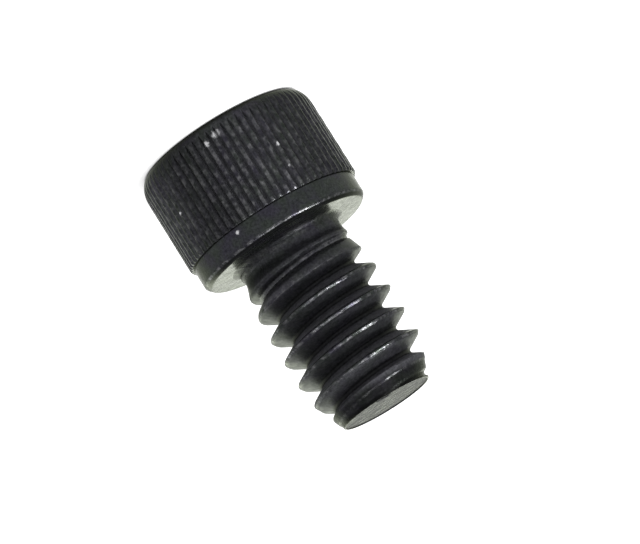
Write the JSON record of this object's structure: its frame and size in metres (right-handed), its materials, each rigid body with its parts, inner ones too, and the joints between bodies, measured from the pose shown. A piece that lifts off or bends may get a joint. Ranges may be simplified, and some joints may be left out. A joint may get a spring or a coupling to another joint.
{
  "type": "socket head cap screw",
  "caption": "Socket head cap screw with a knurled cylindrical head, a hex socket and a short coarse right-hand thread, in black oxide.",
  "frame": {"origin": "centre of the flat top of the head, which is the base the screw stands on, with the socket facing down", "axes": "+Z along the screw's axis from the top of the head to the tip of the shank; +X across two corners of the hex socket"},
  "size_m": [0.0092, 0.0092, 0.0153],
  "materials": {
    "black_oxide": "black oxide steel, slightly satin, with a few bright rubs on its edges"
  },
  "bodies": {
    "root": {"cap_screw": "black_oxide"}
  },
  "joints": []
}
